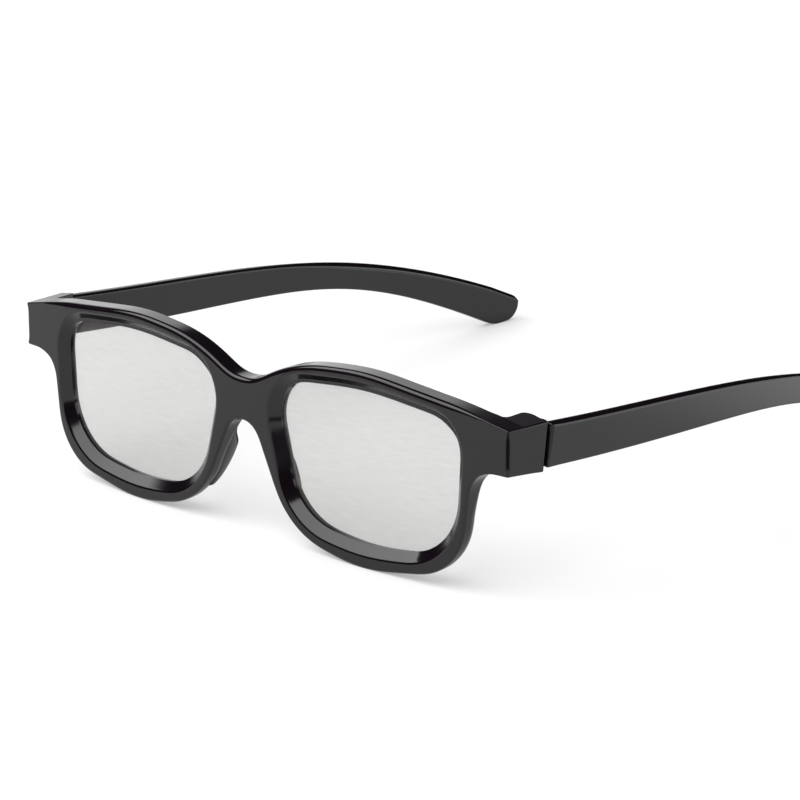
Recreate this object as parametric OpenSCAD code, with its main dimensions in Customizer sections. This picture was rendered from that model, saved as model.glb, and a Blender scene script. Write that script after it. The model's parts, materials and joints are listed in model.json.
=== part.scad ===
// Circular-polarised cinema glasses: a one-piece moulded front with moulded nose pads, two laminated
// film lenses held in its grooves, and two moulded temples that fold on steel hinge pins.
// Millimetres. X runs across the face (+X is the wearer's left), Y from the front to the temple tips,
// Z up. Z = 0 is the table that the rims and the temple tips stand on.

/* [Front] */
// Width between the front corners of the two end pieces
front_w = 142.6; // [136:0.2:150]
// Depth from the front face to the ends of the temple tips
overall_depth = 168; // [155:0.5:180]
// Thickness of the front
front_t = 4.6; // [4.2:0.1:5.4]
// Radius of the front's bow across the face
bow_r = 735; // [500:5:1200]
// How far the brow line drops from its crest to the front corner
corner_drop = 5.4; // [4.4:0.1:6.4]
// How far the brow line drops from its crest to where the end piece starts
brow_drop = 3.3; // [2.6:0.1:4]
// Distance from the front corner in to where the end piece starts
end_run = 9.3; // [7:0.1:11]
// Height of the end piece at the front corner
end_h = 9.45; // [8.8:0.05:10.2]
// Rounding radius of the brow's crest and of its bend at the end piece
brow_r = 60; // [40:1:80]
// Rounding radius of the end piece's front corners
corner_r = 0.8; // [0.3:0.1:1.5]
// Fillet radius between the end piece and the rim below it
armpit_r = 4.5; // [3:0.1:6]

/* [Bridge] */
// How far the bridge's top lies below the crest of the brow
bridge_drop = 8.1; // [7.5:0.1:9.5]
// Depth of the bridge from its top down to the nose arch
bridge_h = 9; // [7:0.1:10]
// Half width of the flat saddle on top of the bridge
saddle_half = 3.2; // [3:0.1:5]
// Rounding radius at the ends of the saddle
saddle_r = 10; // [5:0.1:11]
// Half width of the nose arch's top
arch_half = 3.3; // [2.5:0.1:4.5]
// Rounding radius at the ends of the nose arch's top
arch_r = 5; // [3.5:0.1:6]
// How far the brow's shoulder lies below the crest
shoulder_drop = 1.85; // [1.5:0.05:2.5]
// Distance of the brow's shoulder from the middle
shoulder_x = 14.6; // [13:0.1:17]
// Rounding radius of the brow's shoulder
shoulder_r = 40; // [20:1:45]

/* [Eye openings] */
// Distance between the two openings at half their height
eye_gap = 22; // [20:0.2:25]
// Width of an opening at half its height
eye_w = 47; // [45:0.2:49]
// Height of an opening
eye_h = 33.9; // [31:0.1:36]
// How far the opening's nose side leans inwards towards the top
nose_slant = 7.2; // [5:0.1:9]
// How far the opening's outer side leans inwards towards the bottom
side_slant = 1.3; // [0:0.1:3]
// Arch of the opening's top edge and of its bottom edge
eye_arch = 2.7; // [2:0.1:3.5]
// How far the crest lies towards the nose from the opening's middle
crest_shift = 0.8; // [0:0.1:2]
// Rounding radius of the opening's top edge
eye_top_r = 70; // [50:1:90]
// Rounding radius of the opening's bottom edge
eye_base_r = 55; // [40:1:70]
// Rounding radius of the opening's upper outer corner
upper_outer_r = 7.5; // [5:0.1:10]
// Rounding radius of the opening's lower outer corner
lower_outer_r = 12; // [9:0.1:14]
// Rounding radius of the opening's lower nose corner
lower_nose_r = 14; // [10:0.1:16]
// Rounding radius of the opening's upper nose corner
upper_nose_r = 9; // [6:0.1:11]
// Width of the dished bevel around an opening
bevel_w = 2.1; // [1.4:0.1:2.6]
// Depth of the dished bevel
bevel_d = 2; // [1.5:0.1:2.3]

/* [Rims] */
// Height of the brow above an opening
rim_top = 4; // [3.4:0.1:5]
// Width of the rim outside an opening, where the end piece joins it
rim_side = 4.05; // [3.6:0.05:5]
// How far the rim's outer side leans inwards towards the bottom
rim_lean = 3; // [2:0.1:4]
// Height of the rim below an opening
rim_bottom = 4.3; // [3.6:0.1:5.2]
// How far the rim's lower outer corner lies below the opening's
outer_corner_drop = 2.3; // [1.6:0.1:3]
// How far the rim's lower nose corner lies below the opening's
nose_corner_drop = 3.3; // [2.6:0.1:4]
// How far the rim's lower nose corner lies inside the opening's
nose_corner_run = 1.2; // [0.6:0.1:2]
// Rounding radius of the rim's lower outer corner
rim_outer_r = 14; // [11:0.1:17]
// Rounding radius of the rim's base
rim_base_r = 37; // [28:0.5:42]
// Rounding radius of the rim's lower nose corner
rim_nose_r = 19; // [15:0.1:21]
// How far the rim's rear edge is drawn in
rim_back_w = 1.5; // [0.8:0.1:1.8]
// Depth of the rim's straight side ahead of its drawn-in rear
rim_side_d = 1.6; // [1:0.1:2.4]

/* [Nose pads] */
// How far a nose pad reaches behind the front's rear face
pad_reach = 2.6; // [2:0.1:5]
// How far the top of a nose pad lies below the nose arch
pad_drop = 4.8; // [3:0.1:6]
// Length of a nose pad's root along the rim
pad_len = 11; // [9:0.1:13]
// Thickness of a nose pad
pad_t = 2; // [1.6:0.1:2.6]
// Distance of a nose pad from the rim's nose side
pad_ease = 0.2; // [0:0.05:0.5]

/* [Lenses] */
// Thickness of the quarter-wave retarder film
retarder_t = 0.2; // [0.1:0.05:0.3]
// Thickness of the polarising film
polariser_t = 0.25; // [0.15:0.05:0.4]
// Thickness of the clear carrier sheet behind the films
carrier_t = 0.35; // [0.2:0.05:0.5]
// Thickness of the adhesive between two sheets
bond_t = 0.02; // [0.01:0.01:0.05]
// How far a lens reaches into the groove around its opening
lens_seat = 0.7; // [0.4:0.1:1]
// Clearance of a lens in its groove
lens_gap = 0.1; // [0.05:0.05:0.2]

/* [Hinges] */
// Distance from the front corner back to the end piece's rear face
arm_run = 10.65; // [9.5:0.05:12]
// How far the end piece spreads outwards over that distance
arm_spread = 1; // [0:0.1:2]
// Radius of a hinge barrel on the end piece
barrel_r = 2.2; // [2:0.05:2.4]
// Radius of a hinge pin
pin_r = 0.7; // [0.5:0.05:0.9]
// Radial clearance of a hinge pin in the temple's knuckle
pin_run = 0.05; // [0.02:0.01:0.1]
// Radial clearance of a hinge pin in the end piece
pin_fit = 0.02; // [0.01:0.01:0.05]
// Thickness of the upper and of the lower ear at the pin
ear_t = 2.2; // [1.8:0.1:2.6]
// Clearance between moving hinge faces
hinge_gap = 0.35; // [0.3:0.05:0.5]
// Open gap between the end piece and the temple
butt_gap = 0.5; // [0.4:0.05:0.8]
// How far a pin's axis lies inside the temple's inner face
pin_inset = 1.15; // [1:0.05:1.3]
// Fillet radius where the end piece's inner face meets the front's rear
root_r = 2; // [1:0.1:3]

/* [Temples] */
// How far a temple's outer face stands outside the front corner
temple_out = 1.6; // [0.8:0.1:2.4]
// Thickness of a temple at its hinge
temple_t = 2.9; // [2.5:0.1:3.4]
// Thickness of a temple at its tip
tip_t = 2.4; // [2:0.1:3]
// Height of a temple's front end
temple_h = 9; // [8:0.1:9.2]
// How far a temple's top lies below the end piece's top
temple_step = 0.55; // [0.3:0.05:1]
// Distance from the front face back to where the temple curves inwards
curl_start = 58; // [40:1:80]
// How far the tip curves inwards
tip_inset = 6; // [3:0.1:9]
// Height of the tip where its top edge ends
tip_h = 9.4; // [8.5:0.1:10.5]
// Rounding radius of the tip's upper corner
tip_top_r = 4; // [3:0.1:4.2]
// Rounding radius of the tip's lower corner
tip_low_r = 3.8; // [3:0.1:4]

/* [Hidden] */
$fn = 64;
plastic = [0.1, 0.1, 0.105];
film = [0.8, 0.8, 0.79, 0.45];
steel = [0.7, 0.7, 0.72];
// Spare length by which cutters pass a face
cut = 1;
// Largest turn between two points of a rounded corner, in degrees
arc_step = 7;
// Facets of the large cylinders that bow the front
bow_fn = 720;
// Number of steps along each long curve of a temple
curve_steps = 36;

// The front face's middle in the frame of the whole part
front_y = -overall_depth / 2;
half_w = front_w / 2;

function unit(v) = v / norm(v);
function mix(a, b, t) = a + (b - a) * t;
// Depth of the front face behind its middle at a distance x from it, for a sheet at depth d
function bow(x, d = 0) = bow_r - sqrt(pow(bow_r - d, 2) - x * x);

// Points of the arc that rounds corner c between its neighbours p and n; a corner is [across, up, radius]
function corner_arc(p, c, n) =
    let (at = [c[0], c[1]],
         u = unit([p[0], p[1]] - at),
         v = unit([n[0], n[1]] - at),
         half = acos(u * v) / 2,
         centre = at + unit(u + v) * c[2] / sin(half),
         from = at + u * c[2] / tan(half) - centre,
         turn = (u[0] * v[1] - u[1] * v[0] > 0 ? -1 : 1) * (180 - 2 * half),
         steps = max(2, ceil(abs(turn) / arc_step)))
    [for (i = [0:steps])
        let (a = atan2(from[1], from[0]) + turn * i / steps)
        centre + c[2] * [cos(a), sin(a)]];
// Closed loop through rounded corners
function rounded(corners) =
    let (n = len(corners))
    [for (i = [0:n - 1])
        each corner_arc(corners[(i + n - 1) % n], corners[i], corners[(i + 1) % n])];
// Loop moved outwards by d along its normals; the loop runs clockwise
function grown(loop, d) =
    let (n = len(loop))
    [for (i = [0:n - 1])
        let (t = unit(loop[(i + 1) % n] - loop[(i + n - 1) % n]))
        loop[i] + d * [-t[1], t[0]]];
function bezier(p, t) =
    pow(1 - t, 3) * p[0] + 3 * pow(1 - t, 2) * t * p[1] + 3 * (1 - t) * t * t * p[2] + t * t * t * p[3];

// Opening of the wearer's left eye, clockwise from its top: across, up, radius
eye_in = eye_gap / 2;
eye_out = eye_in + eye_w;
crest_x = (eye_in + eye_out) / 2 - crest_shift;
eye_low = rim_bottom;
eye_top = eye_low + eye_h;
// The rounding takes this much off the corners at the crest and at the base of an opening
crest_lift = 0.4;
upper_z = eye_top + crest_lift - eye_arch;
lower_z = eye_low - crest_lift + eye_arch;
eye_corners = [
    [crest_x, eye_top + crest_lift, eye_top_r],
    [eye_out + side_slant / 2, upper_z, upper_outer_r],
    [eye_out - side_slant / 2, lower_z, lower_outer_r],
    [crest_x, eye_low - crest_lift, eye_base_r],
    [eye_in + nose_slant / 2, lower_z, lower_nose_r],
    [eye_in - nose_slant / 2, upper_z, upper_nose_r]];
eye_loop = rounded(eye_corners);

// Outline of the front's left half, clockwise from the bridge, with the corner at the rim's base at a height
crest_z = eye_top + crest_lift + rim_top;
corner_z = crest_z - corner_drop;
under_z = corner_z - end_h;
bridge_z = crest_z - bridge_drop;
arch_z = bridge_z - bridge_h;
function half_outline(base_z) = [
    [saddle_half, bridge_z, saddle_r],
    [shoulder_x, crest_z - shoulder_drop, shoulder_r],
    [crest_x, crest_z, brow_r],
    [half_w - end_run, crest_z - brow_drop, brow_r],
    [half_w, corner_z, corner_r],
    [half_w, under_z, corner_r],
    [eye_out + rim_side, under_z, armpit_r],
    [eye_out + rim_side - rim_lean, lower_z - outer_corner_drop, rim_outer_r],
    [crest_x, base_z, rim_base_r],
    [eye_in + nose_slant / 2 - nose_corner_run, lower_z - nose_corner_drop, rim_nose_r],
    [arch_half, arch_z, arch_r]];
function whole_outline(base_z) =
    let (half = half_outline(base_z))
    rounded(concat(half,
        [for (i = [len(half) - 1:-1:0]) [-half[i][0], half[i][1], half[i][2]]]));
function lowest(loop) = min([for (p = loop) p[1]]);
// Height of the corner at which the rounded rim just touches the table, closed in on step by step
function touching(base_z, tries) =
    tries == 0 ? base_z : touching(base_z - lowest(whole_outline(base_z)), tries - 1);
base_z = touching(0, 9);
outline = whole_outline(base_z);
// Corners of the rim that the nose pad and the drawn-in rear edge follow
rim_corners = [for (i = [6:10]) half_outline(base_z)[i]];

// Hinge, in plan, measured from the front face's middle
corner_y = bow(half_w);
arm_y = corner_y + arm_run;
arm_x = half_w + arm_spread;
temple_y = arm_y + butt_gap;
temple_x = half_w + temple_out;
temple_in = temple_x - temple_t;
// The pin stands inside the temple's inner face and ahead of its front end
pin_x = temple_in - pin_inset;
pin_y = temple_y - sqrt(pow(barrel_r + hinge_gap, 2) - pow(pin_inset, 2));
// The knuckle is a little slimmer than the barrel
knuckle_step = 0.1;
knuckle_r = barrel_r - knuckle_step;
// The web that ties the knuckle to the temple: half its thickness at the pin, and its lap and run there
web_half = 1.2;
web_lap = 0.7;
web_run = 2;
web_in = pin_x - web_half;
web_out = temple_in + web_lap;
web_back = temple_y + web_run;
slot_low = under_z + ear_t;
slot_top = corner_z - ear_t;
// Solid left above the blind end of a pin's bore
pin_roof = 0.7;

// Side profile of a temple, in [Y from the front face, Z]. Its long edges are cubic curves: the pulls say how
// an edge leaves the hinge and how it reaches the tip. The other values set the corners of the tip's end
tip_y = overall_depth;
temple_top_z = corner_z - temple_step;
top_pull = [53.4, -5.85];
low_pull = [74.2, -5.85];
tip_top_pull = [-58.8, 24.2];
tip_low_pull = [-59.8, 27.3];
tip_top_run = 6;
tip_crown = 2.95;
tip_heel = [-9.9, 2.3];
tip_toe = [-4.2, -0.3];
tip_nose = 2.5;
function tip_profile(shift) =
    let (end = [tip_y, 0] + shift,
         hinge_top = [temple_y, temple_top_z],
         hinge_low = [temple_y, temple_top_z - temple_h],
         tip_top = end + [-tip_top_run, tip_h],
         tip_low = end + tip_heel,
         upper = concat(end + [tip_nose, tip_h - tip_crown], tip_top_r),
         lower = concat(end + tip_toe, tip_low_r),
         top_edge = [hinge_top, hinge_top + top_pull, tip_top + tip_top_pull, tip_top],
         low_edge = [hinge_low, hinge_low + low_pull, tip_low + tip_low_pull, tip_low])
    concat(
        [for (i = [0:curve_steps - 1]) bezier(top_edge, i / curve_steps)],
        corner_arc(tip_top, upper, lower),
        corner_arc(upper, lower, tip_low),
        [for (i = [curve_steps - 1:-1:0]) bezier(low_edge, i / curve_steps)]);
// The tip is moved so that its lowest point is on the table and its end is at the whole part's depth
first_profile = tip_profile([0, 0]);
profile = tip_profile([tip_y - max([for (p = first_profile) p[0]]), -lowest(first_profile)]);

// Distance of a temple's outer face from the middle at a depth y behind the front face
function temple_outer(y) =
    temple_x - (y > curl_start ? tip_inset * pow((y - curl_start) / (tip_y - curl_start), 2) : 0);
function temple_inner(y) =
    temple_outer(y) - mix(temple_t, tip_t, (y - temple_y) / (tip_y - temple_y));

// Solid of a flat loop in [X, Z] that runs from depth y0 to depth y1
module through(loop, y0, y1) {
    translate([0, y1, 0])
        rotate([90, 0, 0])
            linear_extrude(y1 - y0)
                polygon(loop);
}

// Curved sheet of the front's bow, from depth d0 to depth d1, as tall as the part and more
module bowed_sheet(d0, d1) {
    translate([0, bow_r, -2 * cut])
        difference() {
            cylinder(r = bow_r - d0, h = crest_z + 4 * cut, $fn = bow_fn);
            translate([0, 0, -cut])
                cylinder(r = bow_r - d1, h = crest_z + 6 * cut, $fn = bow_fn);
        }
}

// A flat loop carried through a curved sheet of the front
module bowed_plate(loop, d0, d1) {
    intersection() {
        through(loop, -cut, arm_y);
        bowed_sheet(d0, d1);
    }
}

// The two sides of the part are mirror images
module both_sides() {
    children();
    mirror([1, 0, 0])
        children();
}

// Funnel of the dished bevel, between the grown opening at the front face and the opening itself
module bevel_cutter() {
    n = len(eye_loop);
    ahead = 0.5;
    wide = grown(eye_loop, bevel_w * (1 + ahead / bevel_d));
    ring = function (loop, d) [for (p = loop) [p[0], bow(p[0]) + d, p[1]]];
    middle = function (d) [crest_x, bow(crest_x) + d, (eye_low + eye_top) / 2];
    points = concat(ring(wide, -ahead), ring(eye_loop, bevel_d), [middle(-ahead), middle(bevel_d)]);
    faces = [for (i = [0:n - 1])
        let (j = (i + 1) % n)
        each [[i, n + j, j], [i, n + i, n + j], [2 * n, i, j], [2 * n + 1, n + j, n + i]]];
    polyhedron(points, faces);
}

// One opening with its bevel and the groove that holds its lens
module eye_cutter() {
    stack = retarder_t + polariser_t + carrier_t + 2 * bond_t;
    through(eye_loop, -cut, arm_y);
    bevel_cutter();
    bowed_plate(grown(eye_loop, lens_seat + lens_gap), bevel_d, bevel_d + stack + 2 * lens_gap);
}

// End piece that runs back from the front's corner, with the barrel around the hinge pin
module end_piece() {
    inner_x = pin_x - barrel_r;
    rear_y = bow(inner_x - root_r, front_t);
    root_y = rear_y - front_t / 2;
    side = [
        [half_w - end_run, crest_z - brow_drop],
        [half_w + end_run, 2 * corner_z - crest_z + brow_drop],
        [half_w + end_run, under_z],
        [half_w - end_run, under_z]];
    intersection() {
        through(side, 0, temple_y + barrel_r);
        union() {
            linear_extrude(crest_z)
                polygon(concat(
                    [[half_w - corner_r, corner_y + corner_r],
                     [half_w, corner_y + corner_r],
                     [arm_x, arm_y],
                     [pin_x, arm_y],
                     [inner_x, pin_y]],
                    corner_arc([inner_x, pin_y], [inner_x, rear_y, root_r], [0, rear_y]),
                    [[inner_x - root_r, root_y]]));
            translate([pin_x, pin_y, 0])
                cylinder(r = barrel_r, h = crest_z);
        }
    }
}

// Room for the temple's knuckle and web, and the bore for the pin, which is blind at the top
module hinge_cutter() {
    translate([pin_x - barrel_r - cut, pin_y - web_half - hinge_gap, slot_low])
        cube([web_out + hinge_gap - pin_x + barrel_r + cut, barrel_r * 2 + cut, slot_top - slot_low]);
    translate([pin_x, pin_y, slot_low])
        cylinder(r = knuckle_r + hinge_gap, h = slot_top - slot_low);
    translate([pin_x, pin_y, under_z - cut])
        cylinder(r = pin_r + pin_fit, h = end_h - pin_roof + cut);
}

// Moulded nose pad: a rounded fin that carries the nose side of the rim backwards
module nose_pad() {
    r = pad_t / 2;
    low = rim_corners[3];
    high = rim_corners[4];
    top_z = arch_z - pad_drop - r;
    low_z = arch_z - pad_drop - pad_len + r;
    // Where along its root the pad reaches furthest back, and how much it narrows towards there
    peak = 0.65;
    narrowing = 0.6;
    side_at = function (z) mix(low[0], high[0], (z - low[1]) / (high[1] - low[1])) + pad_ease + r;
    hull() {
        for (z = [low_z, top_z]) {
            translate([side_at(z), bow(side_at(z), front_t) - r, z])
                sphere(r = r, $fn = 32);
            tip_z = mix(z, mix(low_z, top_z, peak), narrowing);
            translate([side_at(tip_z), bow(side_at(tip_z), front_t) + pad_reach - r, tip_z])
                sphere(r = r, $fn = 32);
        }
    }
}

// Wedge that draws the rim's rear edge in, from the end piece round to the nose pad
module rim_back_cutter() {
    arcs = [for (i = [1:3])
        each corner_arc(rim_corners[i - 1], rim_corners[i], rim_corners[i + 1])];
    flat = function (corner) [corner[0], corner[1]];
    // The wedge runs out at this share of the way to the end piece and to the nose arch
    run_out = 0.6;
    path = concat(
        [mix(arcs[0], flat(rim_corners[0]), run_out)],
        arcs,
        [mix(arcs[len(arcs) - 1], flat(rim_corners[4]), run_out)]);
    n = len(path);
    clear = 0.3;
    over = cut / 2 / (front_t - rim_side_d);
    stations = [for (i = [0:n - 1])
        let (t = unit(path[min(i + 1, n - 1)] - path[max(i - 1, 0)]),
             out = [-t[1], t[0]],
             w = i == 0 || i == n - 1 ? -clear : rim_back_w)
        [path[i] + out * rim_back_w * over, path[i] - out * w * (1 + over), path[i] + out * 2 * cut]];
    depths = [rim_side_d - cut / 2, front_t + cut / 2, front_t + cut / 2];
    points = [for (s = stations)
        each [for (k = [0:2]) [s[k][0], bow(s[k][0]) + depths[k], s[k][1]]]];
    sides = [for (i = [0:n - 2])
        each [for (k = [0:2])
            let (a = 3 * i + k, b = 3 * i + (k + 1) % 3)
            each [[b, a, a + 3], [b, a + 3, b + 3]]]];
    polyhedron(points, concat([[0, 1, 2]], sides, [[3 * n - 1, 3 * n - 2, 3 * n - 3]]));
}

module front_frame() {
    color(plastic)
        translate([0, front_y, 0])
            difference() {
                union() {
                    difference() {
                        bowed_plate(outline, 0, front_t);
                        both_sides()
                            rim_back_cutter();
                    }
                    both_sides() {
                        end_piece();
                        nose_pad();
                    }
                }
                both_sides() {
                    eye_cutter();
                    hinge_cutter();
                }
            }
}

// One sheet of a lens, for the wearer's left eye, that starts at depth d
module lens_sheet(d, t) {
    color(film)
        translate([0, front_y, 0])
            bowed_plate(grown(eye_loop, lens_seat), d, d + t);
}
retarder_d = bevel_d + lens_gap;
polariser_d = retarder_d + retarder_t + bond_t;
carrier_d = polariser_d + polariser_t + bond_t;

module lens_retarder_left() {
    lens_sheet(retarder_d, retarder_t);
}
module lens_polariser_left() {
    lens_sheet(polariser_d, polariser_t);
}
module lens_carrier_left() {
    lens_sheet(carrier_d, carrier_t);
}
module lens_retarder_right() {
    mirror([1, 0, 0])
        lens_retarder_left();
}
module lens_polariser_right() {
    mirror([1, 0, 0])
        lens_polariser_left();
}
module lens_carrier_right() {
    mirror([1, 0, 0])
        lens_carrier_left();
}

// Blade of a temple: its side profile cut by its curved plan
module temple_blade() {
    plan_y = [for (i = [0:curve_steps]) mix(temple_y, tip_y + cut, i / curve_steps)];
    intersection() {
        rotate([90, 0, 90])
            linear_extrude(temple_x + cut)
                polygon(profile);
        translate([0, 0, -cut])
            linear_extrude(crest_z + 2 * cut)
                polygon(concat(
                    [for (y = plan_y) [temple_outer(y), y]],
                    [for (i = [curve_steps:-1:0]) [temple_inner(plan_y[i]), plan_y[i]]]));
    }
}

module temple_left() {
    color(plastic)
        translate([0, front_y, 0])
            difference() {
                union() {
                    temple_blade();
                    translate([0, 0, slot_low + hinge_gap])
                        linear_extrude(slot_top - slot_low - 2 * hinge_gap)
                            polygon([
                                [web_in, pin_y],
                                [web_in, temple_y],
                                [temple_in - cut / 2, web_back],
                                [web_out, web_back],
                                [web_out, pin_y]]);
                    translate([pin_x, pin_y, slot_low + hinge_gap])
                        cylinder(r = knuckle_r, h = slot_top - slot_low - 2 * hinge_gap);
                }
                translate([pin_x, pin_y, slot_low])
                    cylinder(r = pin_r + pin_run, h = slot_top - slot_low);
            }
}
module temple_right() {
    mirror([1, 0, 0])
        temple_left();
}

module hinge_pin_left() {
    color(steel)
        translate([pin_x, front_y + pin_y, under_z + pin_fit])
            cylinder(r = pin_r, h = end_h - pin_roof - 2 * pin_fit);
}
module hinge_pin_right() {
    mirror([1, 0, 0])
        hinge_pin_left();
}

front_frame();
lens_retarder_left();
lens_polariser_left();
lens_carrier_left();
lens_retarder_right();
lens_polariser_right();
lens_carrier_right();
temple_left();
temple_right();
hinge_pin_left();
hinge_pin_right();
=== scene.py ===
"""Looks of folding cinema glasses: a moulded front, two film lenses and two moulded temples on hinge pins.

Lengths are millimetres in the part's frame until a mesh is made, which is in metres. X runs across the face,
Y from the front to the temple tips, Z up. "Depth" is measured behind the front face.
"""

import json
import math

import bmesh
import bpy
import numpy as np
from mathutils import Matrix, Vector


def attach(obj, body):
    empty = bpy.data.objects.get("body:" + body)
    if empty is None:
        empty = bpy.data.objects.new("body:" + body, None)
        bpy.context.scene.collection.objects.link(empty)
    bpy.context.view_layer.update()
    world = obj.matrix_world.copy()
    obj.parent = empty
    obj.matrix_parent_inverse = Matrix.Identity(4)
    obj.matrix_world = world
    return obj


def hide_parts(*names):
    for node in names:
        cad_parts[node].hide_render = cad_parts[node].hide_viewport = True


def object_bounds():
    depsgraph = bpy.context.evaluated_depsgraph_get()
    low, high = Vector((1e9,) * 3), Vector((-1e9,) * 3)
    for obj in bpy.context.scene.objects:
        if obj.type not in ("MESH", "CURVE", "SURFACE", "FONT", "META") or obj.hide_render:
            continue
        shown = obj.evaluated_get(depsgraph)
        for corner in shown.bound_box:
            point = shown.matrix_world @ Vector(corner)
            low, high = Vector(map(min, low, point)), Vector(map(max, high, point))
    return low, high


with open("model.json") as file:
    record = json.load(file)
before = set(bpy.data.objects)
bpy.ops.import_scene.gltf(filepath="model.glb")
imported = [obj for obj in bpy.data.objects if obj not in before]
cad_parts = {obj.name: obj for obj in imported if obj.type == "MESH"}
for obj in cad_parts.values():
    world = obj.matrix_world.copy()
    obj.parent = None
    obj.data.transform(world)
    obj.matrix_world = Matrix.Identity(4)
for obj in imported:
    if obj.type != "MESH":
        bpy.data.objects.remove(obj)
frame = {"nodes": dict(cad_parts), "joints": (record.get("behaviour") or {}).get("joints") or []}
cad_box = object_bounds()

MM = 0.001

# Sizes of the front, close to those of the part's source. A corner of an outline is (across, up, radius)
HALF_W = 71.3
FRONT_T = 4.6
BOW_R = 735.0
END_EDGE_R = 0.3
END_CORNER_R = 0.75
CREST_Z = 42.6
CORNER_Z = 37.2
UNDER_Z = 27.5
BROW_END = (62.0, 39.3)
BROW_FALL = (BROW_END[1] - CORNER_Z) / (HALF_W - BROW_END[0])
BRIDGE_Z = 34.5
ARCH_Z = 25.5
NOSE_CORNER = (13.4, 3.3)
ARCH_CORNER = (3.3, ARCH_Z)
EYE_CENTRE = (33.7, 21.25)
EYE_CORNERS = (
    (33.7, 38.6, 70.0),
    (58.4, 35.9, 7.5),
    (56.95, 7.1, 14.0),
    (33.7, 4.25, 50.0),
    (14.6, 6.95, 14.0),
    (7.4, 35.9, 9.0),
)
HALF_OUTLINE = (
    (0.0, BRIDGE_Z, 0.0),
    (3.2, BRIDGE_Z, 10.0),
    (14.6, 40.75, 40.0),
    (33.7, CREST_Z, 60.0),
    (*BROW_END, 60.0),
    (HALF_W, CORNER_Z, END_EDGE_R),
    (HALF_W, UNDER_Z, END_EDGE_R),
    (62.05, UNDER_Z, 6.0),
    (59.5, 3.7, 14.0),
    (33.7, -0.71, 37.0),
    (*NOSE_CORNER, 19.0),
    (*ARCH_CORNER, 5.0),
    (0.0, ARCH_Z, 0.0),
)
# How the end piece's face is drawn in when it is matched to the opening
RIM_SIDE_X = 61.0
END_PULL = 0.15
# Places on the front where a change starts and where it is complete: the outline's corners stay hard, the
# brow's crowned top runs out, the edges become the end piece's, and the rear becomes the rim's
END_HARD_X = (66.0, 69.0)
BROW_FADE_X = (55.0, 65.0)
END_FACE_X = (63.0, 65.5)
LOW_RIM_Z = (27.0, 15.0)
# Upward and sideward parts of a normal between which an edge counts more and more as the top, as the side
# (of the front, of the ears) or as above the lens
TOP_FACING = (0.0, 0.6)
SIDE_FACING = (0.7, 1.0)
EAR_FACING = (0.0, 0.9)
OVER_FACING = (0.35, 0.95)
# Roundings and the drawn-in rear of the front, as width and depth
FACE_EDGE_R = 0.6
CORNER_RUN = 1.5
BROW_BACK = (0.35, 0.4)
RIM_BACK = (1.9, 2.7)
# Height and depth of the rounding of the brow's front edge, and how far its top rises over the outline
BROW_EDGE = (1.05, 1.1)
BROW_CROWN = 0.2
# Bevel round an opening: its width and depth in general and along the top, and the rounding of its edge
BEVEL_W = (2.1, 1.7)
BEVEL_D = (2.0, 1.4)
BEVEL_EDGE_R = 0.5
# Rear edge of an opening: its rounding, and its lean outwards in general and at the temple's side
OPENING_BACK_R = 0.9
OPENING_FLARE = (0.35, 0.85)
# Ledge between the bevel and the lens along the top of an opening: its width, and its rise towards the lens
LEDGE_W = 0.7
LEDGE_RISE = 0.07
# Lens, the groove that holds it, and the step in front of it
GROOVE_DEPTHS = (2.7, 3.3)
GROOVE_W = 0.75
STEP_OUT = 0.06
LENS_DEPTHS = (2.8, 3.2)
LENS_SEAT = 0.7
# Lines close to an edge that keep the shading flat up to it
FACE_HOLD = 0.1
REAR_HOLD = 0.2
GROOVE_HOLD = 0.1
STEP_HOLD = 0.03
CAP_RING = 0.04
# Nose pads: reach behind the rim, thickness, lowest and highest point, root inside the rim, ease off its
# side, and the hollow, as a share of the reach, with the span along the pad where it grows
PAD_REACH = 2.7
PAD_T = 2.2
PAD_SPAN = (7.0, 24.6)
PAD_ROOT = 1.2
PAD_EASE = 0.15
PAD_HOLLOW = 0.45
PAD_HOLLOW_SPAN = (0.1, 0.6)
# Powers that make the ends of a pad blunt in thickness and in reach
PAD_BLUNT = (0.6, 0.2)
# End piece in plan: its side's lean, its rear and the corner there, and its root: rounding, lap into the
# front, dip of its top under the front's skin, and run of its foot
ARM_LEAN = 1 / 10.65
ARM_Y = 14.12
ARM_CORNER_R = 0.35
ROOT_R = 2.0
ROOT_LAP = 2.0
ROOT_DIP = 0.022
FOOT_RUN = 0.5
# Ears: thickness, edge rounding, lap over the middle between them, and their barrel round the pin
EAR_T = 2.2
EAR_EDGE_R = 0.15
EAR_LAP = 0.05
BARREL_R = 2.2
BARREL_SIDE = 1.2
BARREL_FILLET_R = 0.8
# Knuckle between the ears: radius, edge rounding, and the amounts by which its two roundings ahead of the pin
# are less than its radius, inside and outside
KNUCKLE_R = 2.1
KNUCKLE_EDGE_R = 0.15
KNUCKLE_EASE = (0.05, 0.3)
# Clearance of knuckle and web, and the slot and recess that they move in
HINGE_GAP = 0.35
SLOT_R = 0.2
RECESS_R = 1.0
RECESS_DRAFT = 0.3
# Web from the knuckle into the blade: half its width, its lap, its run behind the butt, how far behind the
# pin its outer and inner sides begin, how far inside and ahead of the blade its slant ends, and its roundings
WEB_HALF = 1.2
WEB_LAP = 0.7
WEB_RUN = 2.0
WEB_BEGINS = (0.3, 0.6)
WEB_SLANT = (0.5, 0.2)
WEB_CORNER_R = (0.3, 0.2, 0.4, 0.4, 0.5)
# Smallest rounding in a plan
SMALL_R = 0.1
# Fall of the end piece's underside towards its rear
END_FALL = 0.095
# Set-back of the end piece's rear and of a temple's butt, at their foot and at their top, and its reach
END_SLANT = (-0.4, 0.8)
BUTT_SLANT = (-0.6, 1.0)
SLANT_RUN = 4.0
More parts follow.
